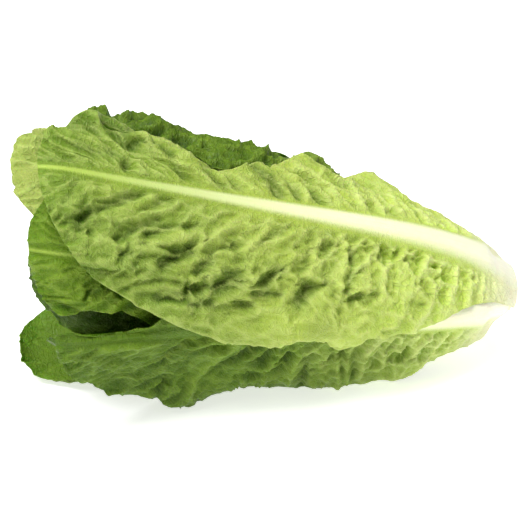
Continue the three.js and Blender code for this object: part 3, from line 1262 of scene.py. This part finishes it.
# Creases of the leaves that show most: height, width and points (across, along) of each.
FRONT_FURROWS = (
    Furrow(-2.5, 3.5, ((15, 256), (14, 248), (15, 239))),
    Furrow(-4.0, 5.0, ((29, 238), (21, 230))),
    Furrow(-4.0, 3.5, ((32, 240), (32, 231), (35, 222))),
    Furrow(-4.0, 3.0, ((9, 232), (12, 230))),
    Furrow(-2.5, 2.2, ((22, 230), (26, 222), (25, 213), (19, 208))),
    Furrow(-1.8, 1.8, ((23, 209), (8, 204))),
    Furrow(-2.0, 3.0, ((4, 276), (4, 269), (5, 262))),
    Furrow(-2.5, 5.0, ((28, 267), (27, 257), (29, 246))),
    Furrow(-4.0, 3.5, ((-24, 256), (-16, 246), (-9, 234), (-4, 225))),
    Furrow(-3.0, 3.0, ((-28, 259), (-22, 255))),
    Furrow(-1.6, 1.6, ((-22, 268), (-15, 263), (-8, 260))),
    Furrow(-3.0, 2.5, ((-33, 241), (-29, 236), (-23, 228), (-17, 218))),
    Furrow(-2.5, 3.0, ((-15, 228), (-9, 217), (-2, 207))),
    Furrow(-3.0, 2.2, ((-26, 224), (-22, 216), (-18, 199))),
    Furrow(-4.5, 3.0, ((-42, 219), (-34, 211))),
    Furrow(-3.5, 3.0, ((-37, 210), (-32, 202))),
    Furrow(-2.5, 2.5, ((-42, 201), (-37, 196), (-34, 192))),
    Furrow(-5.0, 4.0, ((-49, 191), (-46, 185), (-43, 180))),
    Furrow(-4.0, 3.0, ((-52, 206), (-51, 201))),
    Furrow(-2.5, 2.5, ((-59, 222), (-55, 207))),
    Furrow(-4.0, 3.0, ((-60, 204), (-57, 194))),
    Furrow(-3.0, 2.5, ((-55, 180), (-55, 172))),
    Furrow(-3.5, 2.5, ((-49, 170), (-46, 156))),
    Furrow(-3.0, 3.0, ((-43, 164), (-37, 159), (-33, 154))),
    Furrow(-5.0, 3.5, ((-48, 146), (-44, 142), (-40, 139))),
    Furrow(-2.0, 1.2, ((-40, 142), (-38, 134), (-35, 125))),
    Furrow(-3.0, 2.2, ((-38, 117), (-27, 114), (-17, 113))),
    Furrow(-2.5, 2.0, ((-42, 116), (-39, 109))),
    Furrow(-4.0, 4.0, ((25, 196), (14, 188), (4, 180))),
    Furrow(-2.5, 3.0, ((22, 184), (12, 176), (2, 170))),
    Furrow(-5.0, 3.5, ((30, 167), (22, 160), (14, 152), (5, 150))),
    Furrow(-3.5, 3.0, ((31, 152), (24, 146), (13, 140), (5, 140))),
    Furrow(-3.0, 2.6, ((20, 135), (12, 130), (5, 124))),
    Furrow(-2.0, 2.2, ((22, 116), (22, 107))),
    Furrow(-2.5, 2.5, ((9, 108), (5, 104), (1, 99))),
    Furrow(-2.0, 2.5, ((20, 86), (13, 84), (7, 82))),
    Furrow(-2.0, 3.0, ((24, 68), (17, 66), (10, 62))),
    Furrow(-1.5, 2.5, ((20, 52), (12, 46))),
    Furrow(2.0, 2.6, ((35, 150), (30, 144), (21, 138), (11, 136), (3, 135))),
    Furrow(2.0, 2.4, ((35, 136), (29, 128), (20, 119), (12, 118), (5, 116))),
    Furrow(1.8, 2.0, ((31, 106), (19, 105), (8, 102), (0, 98))),
    Furrow(1.6, 1.8, ((27, 93), (13, 92), (6, 89))),
    Furrow(1.6, 1.8, ((27, 80), (12, 78), (4, 74))),
    Furrow(1.4, 1.8, ((31, 62), (15, 58), (7, 56))),
    Furrow(1.6, 3.0, ((21, 262), (19, 253), (16, 245))),
    Furrow(3.0, 2.5, ((32, 245), (22, 238), (15, 230), (6, 224))),
    Furrow(1.5, 3.0, ((23, 232), (31, 222), (34, 213))),
    Furrow(2.5, 4.0, ((43, 222), (39, 211), (25, 204), (18, 192), (12, 182))),
    Furrow(1.6, 1.5, ((-39, 122), (-26, 119), (-13, 116))),
    Furrow(1.6, 1.5, ((-40, 98), (-28, 96), (-15, 94))),
    Furrow(1.5, 1.6, ((-33, 139), (-22, 134), (-14, 131))),
    Furrow(1.5, 2.0, ((-26, 174), (-20, 166), (-13, 159))),
    Furrow(1.5, 2.0, ((-28, 198), (-19, 187), (-12, 176))),
    Furrow(1.2, 3.0, ((-18, 251), (-7, 238), (-2, 222))),
    Furrow(2.0, 3.0, ((-27, 255), (-20, 244), (-14, 230), (-7, 222))),
    Furrow(1.5, 4.0, ((-35, 250), (-34, 235), (-28, 216), (-23, 198))),
    Furrow(1.2, 1.3, ((-41, 108), (-27, 105), (-16, 105))),
    Furrow(1.2, 1.5, ((-37, 85), (-23, 82), (-14, 82))),
)

SECOND_FRONT_FURROWS = (
    Furrow(1.2, 1.4, ((-17, 230), (-23, 238), (-29, 246))),
    Furrow(-2.0, 2.0, ((-18, 242), (-14, 238), (-10, 236))),
    Furrow(-2.5, 2.2, ((-34, 232), (-28, 223), (-21, 218), (-16, 215))),
    Furrow(1.5, 1.5, ((-34, 239), (-29, 231), (-21, 226))),
    Furrow(-3.0, 3.0, ((-17, 226), (-15, 220))),
    Furrow(-3.0, 4.0, ((-20, 215), (-23, 207), (-26, 202))),
    Furrow(-2.5, 3.0, ((-29, 256), (-32, 244), (-33, 234))),
    Furrow(0.8, 0.9, ((-3, 242), (-11, 254), (-16, 261))),
    Furrow(0.8, 0.9, ((-3, 242), (-15, 250), (-26, 254))),
)

FRONT_LOW_FURROWS = (
    Furrow(2.5, 3.0, ((2, 252), (-5, 244), (-5, 234), (-4, 223))),
    Furrow(-1.5, 3.0, ((-15, 241), (-15, 238))),
    Furrow(-1.5, 3.0, ((-18, 232), (-16, 228))),
    Furrow(-3.0, 2.5, ((-23, 212), (-14, 209), (-9, 199))),
    Furrow(1.8, 2.0, ((-13, 199), (-9, 185), (-9, 171))),
    Furrow(-2.0, 2.0, ((-17, 199), (-14, 188), (-13, 179))),
    Furrow(3.0, 3.0, ((-52, 198), (-32, 189), (-19, 181), (-11, 172))),
    Furrow(-2.5, 3.0, ((-39, 183), (-27, 173), (-16, 162))),
    Furrow(-2.5, 1.6, ((-58, 217), (-57, 217), (-37, 211), (-38, 200))),
    Furrow(-4.0, 1.2, ((-59, 192), (-59, 191))),
    Furrow(2.2, 1.5, ((-13, 144), (-26, 152), (-58, 155))),
    Furrow(2.2, 1.5, ((-20, 135), (-33, 139), (-58, 138))),
    Furrow(2.2, 1.5, ((-14, 119), (-24, 120), (-37, 122))),
    Furrow(2.2, 1.5, ((-12, 115), (-29, 113), (-56, 108))),
    Furrow(2.2, 1.5, ((-11, 106), (-25, 108), (-48, 105))),
    Furrow(2.2, 1.5, ((-11, 91), (-19, 94), (-31, 97), (-44, 97))),
    Furrow(2.0, 1.4, ((-12, 82), (-22, 85), (-32, 85))),
    Furrow(2.0, 1.4, ((-13, 76), (-25, 75))),
    Furrow(2.0, 1.4, ((-13, 59), (-20, 64), (-28, 66))),
    Furrow(1.6, 1.4, ((-14, 50), (-20, 55))),
    Furrow(-3.0, 2.8, ((-23, 142), (-44, 146))),
    Furrow(-3.0, 2.6, ((-26, 130), (-58, 130))),
    Furrow(-3.0, 2.4, ((-16, 99), (-26, 102), (-43, 101))),
    Furrow(-2.5, 2.2, ((-16, 86), (-31, 90))),
    Furrow(-2.5, 2.0, ((-16, 110), (-42, 108))),
    Furrow(-3.0, 3.0, ((-13, 159), (-23, 165))),
    Furrow(-3.0, 3.0, ((-17, 151), (-30, 157))),
    Furrow(-2.0, 2.0, ((-16, 70), (-27, 72))),
)


def spiral(plans: list[LeafPlan], first: float = 2.0, step: float = 3.1) -> tuple[LeafPlan, ...]:
    """Number the leaves from the outermost in, each springing further up the stem.

    Args:
        plans: Sizes of the leaves, in the order of the spiral.
        first: How far up the outermost leaf springs.
        step: How much further up each leaf springs.

    Returns:
        The plans.
    """
    return tuple(replace(plan, order=order, base=first + step * order) for order, plan in enumerate(plans))


LEAVES = spiral(
    [
        LeafPlan(
            name="leaf_front",
            angle=49.0, drift=3.0, tip=280.0, half_width=(47.0, 79.0), clasp=(25.0, 17.0),
            corners=(22.0, 24.0), hood=(262.0, 60.0), folds=(6.5, 3.0), ruffle=2.2,
            lobes=(
                Lobe(UP, 92.0, 11.0, 21.0),
                Lobe(UP, 179.0, -27.0, 30.0),
                Lobe(DOWN, 122.0, 12.0, 9.0),
                Lobe(DOWN, 147.0, -8.0, 13.0),
                Lobe(DOWN, 75.0, 7.0, 30.0),
            ),
            bumps=(Bump(0.8, 252.0, 6.0, 0.4, 20.0),),
            furrows=FRONT_FURROWS, puckers=(0.7, 1.1), creases=(1.0, 0.8), phase=0.4, grid=(270, 160),
        ),
        LeafPlan(
            name="leaf_back",
            angle=193.0, drift=6.0, tip=268.0, half_width=(84.0, 80.0), clasp=(26.0, 24.0),
            hood=(250.0, 52.0), folds=(4.0, 4.0), ruffle=2.6,
            lobes=(Lobe(DOWN, 150.0, 6.0, 14.0), Lobe(UP, 205.0, 8.0, 14.0)),
            pleats=(Pleat(0.8, 8.0, 0.35, 80.0),),
            puckers=(1.2, 1.0), creases=(1.8, 1.2), phase=2.1, grid=(200, 130), tone=Tone.SUNNED,
        ),
        LeafPlan(
            name="leaf_front_low",
            angle=-2.0, bend=6.0, drift=-17.0, tip=278.0, half_width=(14.0, 84.0), clasp=(19.0, 29.0),
            corners=(10.0, 48.0), hood=(264.0, 60.0), folds=(0.0, 2.6), ruffle=2.4, rib_reach=0.5,
            lobes=(Lobe(DOWN, 150.0, 5.0, 12.0), Lobe(UP, 245.0, -10.0, 28.0)),
            pleats=(Pleat(-0.35, 4.0, 0.4, 240.0), Pleat(-0.84, 6.6, 0.27, 80.0)),
            bumps=(Bump(-0.74, 213.0, 9.5, 0.14, 19.0),),
            furrows=FRONT_LOW_FURROWS, puckers=(0.5, 0.9), creases=(0.5, 0.8), phase=1.2,
            grid=(250, 140), tone=Tone.SUNNED,
        ),
        LeafPlan(
            name="leaf_top",
            angle=112.0, drift=4.0, tip=252.0, half_width=(72.0, 60.0),
            corners=(38.0, 70.0), hood=(252.0, 42.0), folds=(2.0, 0.8), ruffle=2.4, rib_share=0.6,
            pleats=(Pleat(-0.2, 6.5, 0.36, 145.0),),
            bumps=(Bump(-0.22, 213.0, 5.0, 0.35, 11.0), Bump(-0.12, 121.0, 11.0, 0.24, 9.0)),
            puckers=(1.0, 1.7), creases=(1.6, 2.2), phase=0.2, grid=(200, 110), tone=Tone.SUNNED,
        ),
        LeafPlan(
            name="leaf_under",
            angle=251.0, drift=5.0, tip=302.0, half_width=(64.0, 58.0), spread=17.0,
            corners=(66.0, 44.0), hood=(284.0, 15.0), ruffle=1.4, rib_reach=0.7,
            lobes=(Lobe(UP, 285.0, -16.0, 30.0),),
            phase=3.3, grid=(200, 90), tone=Tone.SHADED,
        ),
        LeafPlan(
            name="leaf_second_front",
            angle=17.0, drift=2.0, tip=289.0, half_width=(64.0, 64.0),
            corners=(34.0, 14.0), hood=(262.0, 46.0), ruffle=1.2, rib_reach=0.8, rib_line=0.7,
            lobes=(Lobe(DOWN, 240.0, -28.0, 36.0),),
            furrows=SECOND_FRONT_FURROWS, puckers=(0.5, 0.8), creases=(0.4, 0.9), phase=4.2,
            grid=(200, 110), tone=Tone.SHADED,
        ),
        LeafPlan(
            name="leaf_second_back",
            angle=163.0, tip=274.0, half_width=(66.0, 60.0), hood=(250.0, 40.0),
            phase=0.9, grid=(100, 60), tone=Tone.HOOD,
        ),
        LeafPlan(
            name="leaf_second_under",
            angle=300.0, drift=2.0, tip=284.0, half_width=(60.0, 62.0), hood=(256.0, 40.0),
            lobes=(Lobe(UP, 245.0, -18.0, 40.0),),
            # Painted dark as the shade of the gap between the front leaves, where alone it shows.
            phase=5.1, grid=(100, 60), tone=Tone.BURIED,
        ),
        LeafPlan(
            name="leaf_second_top",
            angle=58.0, tip=296.0, half_width=(64.0, 50.0), hood=(273.0, 26.0), rib_reach=0.8,
            lobes=(Lobe(DOWN, 268.0, 8.0, 18.0),),
            pleats=(Pleat(0.52, 7.0, 0.3, 225.0),),
            puckers=(1.0, 1.0), creases=(1.0, 1.0), phase=2.8, grid=(200, 110), tone=Tone.HOOD,
        ),
        LeafPlan(
            name="leaf_third_back",
            angle=214.0, tip=280.0, half_width=(60.0, 60.0), hood=(246.0, 36.0),
            phase=1.7, grid=(90, 50), tone=Tone.HOOD,
        ),
        LeafPlan(
            name="leaf_third_front",
            angle=353.0, drift=6.0, tip=294.0, half_width=(60.0, 60.0), hood=(256.0, 38.0),
            # Painted dark as the shade of the gap between the front leaves, where it shows.
            phase=3.9, grid=(110, 60), tone=Tone.BURIED,
        ),
        LeafPlan(
            name="leaf_third_top",
            angle=130.0, tip=284.0, half_width=(58.0, 60.0), hood=(246.0, 34.0),
            phase=0.3, grid=(90, 50), tone=Tone.HOOD,
        ),
    ]
)


@dataclass
class Heart:
    """Small pale leaves round a dense core, with its sizes in millimetres.

    A pair is the outermost leaf's size and what each leaf further in adds to it.
    """

    form: HeadForm
    node: str = "heart"
    start: float = 56.6
    end: float = 236.0
    core_girth: float = 31.0
    core_share: float = 0.98
    core_fullness: float = 0.7
    pattern_radius: float = 25.0
    leaf_count: int = 6
    first_angle: float = 130.0
    golden_angle: float = 137.5
    depths: tuple[float, float] = (2.8, 1.3)
    half_widths: tuple[float, float] = (46.0, -2.0)
    tips: tuple[float, float] = (284.0, -3.5)
    hood_starts: tuple[float, float] = (232.0, -4.0)

    def leaf_plan(self, number: int) -> LeafPlan:
        """Sizes of one leaf of the heart.

        Args:
            number: Its number, from the outermost.

        Returns:
            The plan.
        """
        pairs = (self.depths, self.half_widths, self.tips, self.hood_starts)
        depth, width, tip, hood_start = (first + step * number for first, step in pairs)
        return LeafPlan(
            name=f"heart_{number}",
            order=len(LEAVES) + depth,
            angle=self.first_angle + (number + 1) * self.golden_angle,
            base=112.0,
            tip=tip,
            half_width=(width, width),
            clasp=(22.0, 22.0),
            rib_share=0.3,
            hood=(hood_start, 44.0),
            ruffle=1.0,
            phase=1.3 * number,
            grid=(70, 40),
            tone=Tone.HEART,
        )

    def core(self) -> bpy.types.Object:
        """Model the core from a ball that is drawn out along the axis.

        Returns:
            The core's object.
        """
        deselect()
        bpy.ops.mesh.primitive_uv_sphere_add(segments=48, ring_count=40, radius=1.0)
        piece = new_piece(f"{self.node}_core")
        co = np.empty(len(piece.data.vertices) * 3)
        piece.data.vertices.foreach_get("co", co)
        ball = co.reshape(-1, 3)
        share = (1.0 + ball[:, 2]) / 2.0
        girth = np.hypot(ball[:, 0], ball[:, 1]) ** self.core_fullness
        radius = girth * self.core_girth * self.core_share
        angle = np.arctan2(ball[:, 1], -ball[:, 0])
        points = self.form.place(blend(self.start, self.end, share), angle, radius)
        piece.data.vertices.foreach_set("co", (points * MM).ravel())
        along = share * (self.end - self.start)
        store_growth(piece.data, np.stack([angle * self.pattern_radius, along, 0.0 * share], axis=-1))
        store(piece.data, "share", share)
        bpy.ops.object.shade_smooth()
        return piece

    def build(self) -> bpy.types.Object:
        """Model the core and its leaves and join them.

        Returns:
            The heart's object.
        """
        leaves = [Leaf(self.leaf_plan(number), self.form, ()).build() for number in range(self.leaf_count)]
        core = self.core()
        deselect()
        for piece in (*leaves, core):
            piece.select_set(True)
        bpy.context.view_layer.objects.active = core
        bpy.ops.object.join()
        return core

    def dress(self, piece: bpy.types.Object, materials: dict[Tone, bpy.types.Material]) -> None:
        """Give the heart its finish.

        Args:
            piece: The heart's object.
            materials: The finished materials.
        """
        coat(piece, materials[Tone.HEART])


@dataclass(frozen=True)
class ButtFinish:
    """Pale waxy stem with a faintly browned cut."""

    flesh: Colour = (0.88, 0.87, 0.58)
    green: Colour = (0.70, 0.76, 0.36)
    browned: Colour = (0.50, 0.36, 0.20)

    def material(self) -> bpy.types.Material:
        """Build the material.

        Returns:
            The material.
        """
        graph = Graph("butt")
        place = graph.object_place()
        cut, ring = graph.attribute("cut"), graph.attribute("ring")
        drawn_out = graph.node("ShaderNodeMapping", {}, {"Vector": place, "Scale": (0.12, 1.0, 1.0)})
        fibres = graph.noise(drawn_out, 900.0, 3.0, 0.6)
        blotches = graph.noise(place, 160.0, 3.0)
        pores = 1.0 - graph.net(place, 1100.0).eased(0.0, 0.25)
        side = graph.mix(fibres.eased(0.4, 0.7) * 0.4, self.flesh, self.green)
        face = graph.mix(blotches.eased(0.4, 0.7) * 0.35 + ring * 0.4, self.flesh, self.browned)
        face = graph.mix(pores * 0.25, face, self.browned)
        height = fibres * 0.6 + blotches * 0.8 + pores * cut * 0.7
        bump = graph.node("ShaderNodeBump", {}, {"Strength": 0.6, "Distance": 0.0006, "Height": height})
        return graph.finish(
            {
                "Base Color": graph.mix(cut, side, face),
                "Roughness": 0.42 + cut * 0.2 + (blotches - 0.5) * 0.2,
                "Normal": bump,
                "Subsurface Weight": 0.3,
                "Subsurface Radius": (1.0, 0.9, 0.4),
                "Subsurface Scale": 0.004,
            }
        )


@dataclass
class Stem:
    """The cut butt and the neck that the leaves spring from, with its sizes in millimetres.

    The profile lists pairs of distance from the cut and radius.
    """

    form: HeadForm
    node: str = "stem"
    sides: int = 96
    rim: float = 1.2
    edge_length: float = 0.5
    edge_drop: float = 0.35
    radius: float = 14.0
    profile: tuple[tuple[float, float], ...] = (
        (6.0, 14.0),
        (12.0, 13.9),
        (18.0, 13.8),
        (27.0, 13.3),
        (36.0, 12.4),
        (44.0, 11.0),
        (52.0, 9.4),
        (56.0, 6.9),
    )
    ring_radii: tuple[float, float, float] = (11.4, 9.6, 6.0)
    ring_depths: tuple[float, float, float] = (0.175, -0.1, 0.175)
    ring_width: float = 1.4
    cut_depth: float = 0.45
    unevenness: float = 0.02
    seed: int = 11

    def build(self) -> bpy.types.Object:
        """Model the stem from a disc that is extruded along the axis and inset on its cut.

        Returns:
            The stem's object.
        """
        form, start = self.form, self.radius - self.rim
        deselect()
        bpy.ops.mesh.primitive_circle_add(
            vertices=self.sides,
            radius=start * MM,
            fill_type="NGON",
            location=(form.butt_x * MM, form.butt_y * MM, form.axis_height_at_butt * MM),
            rotation=(0.0, -pi / 2.0, 0.0),
        )
        piece = new_piece("stem_body")
        bpy.ops.object.transform_apply(location=True, rotation=True, scale=True)
        bpy.ops.object.mode_set(mode="EDIT")
        bpy.ops.mesh.select_all(action="SELECT")
        last_u, last_radius = 0.0, start
        rounded_edge = (self.edge_length, self.radius - self.edge_drop)
        for u, radius in (rounded_edge, (self.rim, self.radius), *self.profile):
            step = u - last_u
            move = (-step * MM, 0.0, form.axis_rise * step * MM)
            bpy.ops.mesh.extrude_region_move(TRANSFORM_OT_translate={"value": move})
            scale = radius / last_radius
            bpy.ops.transform.resize(value=(1.0, scale, scale))
            last_u, last_radius = u, radius
        bpy.ops.mesh.inset(thickness=3.0 * MM)
        self.cut_face(start)
        bpy.ops.mesh.select_all(action="SELECT")
        bpy.ops.mesh.normals_make_consistent(inside=False)
        bpy.ops.object.mode_set(mode="OBJECT")
        self.weather(piece)
        bpy.ops.object.shade_smooth_by_angle(angle=radians(50.0))
        return piece

    def cut_face(self, start: float) -> None:
        """Inset the ring of vessels in the cut and dish its middle.

        Args:
            start: Radius of the cut.
        """
        bpy.ops.mesh.select_all(action="DESELECT")
        bpy.ops.object.mode_set(mode="OBJECT")
        mesh = bpy.context.active_object.data
        mesh.polygons[0].select = True
        bpy.ops.object.mode_set(mode="EDIT")
        bpy.ops.mesh.select_mode(type="FACE")
        last = start
        for radius, depth in zip(self.ring_radii, self.ring_depths):
            bpy.ops.mesh.inset(thickness=(last - radius) * MM)
            bpy.ops.transform.translate(value=(-depth * MM, 0.0, 0.0))
            last = radius

    def weather(self, piece: bpy.types.Object) -> None:
        """Make the sides uneven and mark the cut and its ring of vessels.

        Args:
            piece: The stem's object.
        """
        mesh = piece.data
        co = np.empty(len(mesh.vertices) * 3)
        mesh.vertices.foreach_get("co", co)
        points = co.reshape(-1, 3) / MM
        u = self.form.butt_x - points[:, 0]
        y = points[:, 1] - self.form.butt_y
        z = points[:, 2] - self.form.axis_height(u)
        angle, radius = np.arctan2(z, -y), np.hypot(y, z)
        noise = LatticeNoise(self.seed)
        worn = 1.0 + noise.at(8.0 * np.cos(angle) + 20.0, 8.0 * np.sin(angle) + u / 9.0)
        points = self.form.place(u, angle, radius * (1.0 - self.unevenness * worn))
        mesh.vertices.foreach_set("co", (points * MM).ravel())
        on_cut = u < self.cut_depth
        store(mesh, "cut", on_cut * 1.0)
        store(mesh, "ring", bell(radius, self.ring_radii[1], self.ring_width) * on_cut)
        mesh.update()

    def dress(self, piece: bpy.types.Object) -> None:
        """Give the stem its finish.

        Args:
            piece: The stem's object.
        """
        coat(piece, ButtFinish().material())


@dataclass(frozen=True)
class FloorFinish:
    """White floor that glows a little, so that it stays white in the head's own shade."""

    shade: Colour = (0.9, 0.9, 0.9)
    light: Colour = (0.92, 0.92, 0.92)
    glow: float = 0.65

    def material(self) -> bpy.types.Material:
        """Build the material.

        Returns:
            The material.
        """
        graph = Graph("floor")
        cloud = graph.noise(graph.object_place(), 1.5, 2.0)
        return graph.finish(
            {
                "Base Color": graph.mix(cloud, self.shade, self.light),
                "Roughness": 0.6,
                "Specular IOR Level": 0.2,
                "Emission Color": (1.0, 1.0, 1.0),
                "Emission Strength": self.glow,
            }
        )


@dataclass(frozen=True)
class Studio:
    """White floor, soft lights and the camera, in metres, degrees and watts."""

    azimuth: float = -11.1
    elevation: float = 24.6
    distance: float = 0.726
    target: tuple[float, float, float] = (-0.0053, 0.0, 0.07125)
    lens: float = 85.0
    sensor: float = 36.0
    floor_size: float = 12.0
    surround: float = 0.3
    overhead_power: float = 2.1
    overhead_spread: float = 40.0
    overhead_from: tuple[float, float, float] = (-0.22, -0.12, 0.97)
    key_power: float = 9.0
    key_size: float = 0.5
    key_place: tuple[float, float, float] = (-0.5, -0.4, 1.1)

    def build_floor(self) -> None:
        deselect()
        bpy.ops.mesh.primitive_plane_add(size=self.floor_size)
        floor = new_piece("floor")
        bpy.ops.object.mode_set(mode="EDIT")
        bpy.ops.mesh.select_all(action="SELECT")
        bpy.ops.mesh.subdivide(number_cuts=3)
        bpy.ops.object.mode_set(mode="OBJECT")
        coat(floor, FloorFinish().material())

    def light_surround(self) -> None:
        """Light the scene evenly from all round."""
        world = bpy.data.worlds.new("surround")
        world.use_nodes = True
        background = world.node_tree.nodes["Background"]
        background.inputs["Color"].default_value = (1.0, 1.0, 1.0, 1.0)
        background.inputs["Strength"].default_value = self.surround
        bpy.context.scene.world = world

    def hang_overhead(self) -> None:
        """Hang the broad light that shines down on the head."""
        light = bpy.data.lights.new("overhead", "SUN")
        light.energy, light.angle = self.overhead_power, radians(self.overhead_spread)
        lamp = bpy.data.objects.new("overhead", light)
        lamp.rotation_euler = Vector(self.overhead_from).to_track_quat("Z", "Y").to_euler()
        bpy.context.collection.objects.link(lamp)

    def hang_key(self) -> None:
        """Hang the soft square light on the left and point it at the head."""
        light = bpy.data.lights.new("key", "AREA")
        light.size, light.energy = self.key_size, self.key_power
        lamp = bpy.data.objects.new("key", light)
        lamp.location = self.key_place
        aim = Vector(self.target) - Vector(self.key_place)
        lamp.rotation_euler = aim.to_track_quat("-Z", "Y").to_euler()
        bpy.context.collection.objects.link(lamp)

    def add_camera(self) -> None:
        """Add the camera at the photograph's viewing angle."""
        turn, rise = radians(self.azimuth), radians(self.elevation)
        back = Vector((sin(turn) * cos(rise), -cos(turn) * cos(rise), sin(rise)))
        data = bpy.data.cameras.new("camera")
        data.lens, data.sensor_width = self.lens, self.sensor
        camera = bpy.data.objects.new("camera", data)
        camera.location = Vector(self.target) + back * self.distance
        camera.rotation_euler = (-back).to_track_quat("-Z", "Y").to_euler()
        bpy.context.collection.objects.link(camera)
        bpy.context.scene.camera = camera

    def build(self) -> None:
        """Build the studio."""
        bpy.context.scene.view_settings.view_transform = "Standard"
        self.light_surround()
        self.build_floor()
        self.hang_overhead()
        self.hang_key()
        self.add_camera()


def finish_piece(piece: bpy.types.Object, node: str, slot: str) -> None:
    """Put a piece in the frame in place of its solid.

    Args:
        piece: The finished piece.
        node: The solid that it stands for.
        slot: Material slot of the record; not used.
    """
    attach(piece, BODY)
    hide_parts(node)
    log.info("%s: %d faces", piece.name, len(piece.data.polygons))


def main() -> None:
    """Build the head, piece by piece, and the studio round it."""
    logging.basicConfig(level=logging.INFO, format="%(name)s: %(message)s")
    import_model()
    form = HeadForm.from_stem("stem")
    Studio().build()
    materials = {tone: finish.material() for tone, finish in FINISHES.items()}

    for number, plan in enumerate(LEAVES):
        leaf = Leaf(plan, form, LEAVES[number + 1 :])
        piece = leaf.build()
        leaf.dress(piece, materials)
        finish_piece(piece, plan.name, "outer_leaf" if number < OUTER_LEAVES else "inner_leaf")

    heart = Heart(form)
    piece = heart.build()
    heart.dress(piece, materials)
    finish_piece(piece, heart.node, "heart_leaf")

    stem = Stem(form)
    piece = stem.build()
    stem.dress(piece)
    finish_piece(piece, stem.node, "butt")


if __name__ == "__main__":
    main()
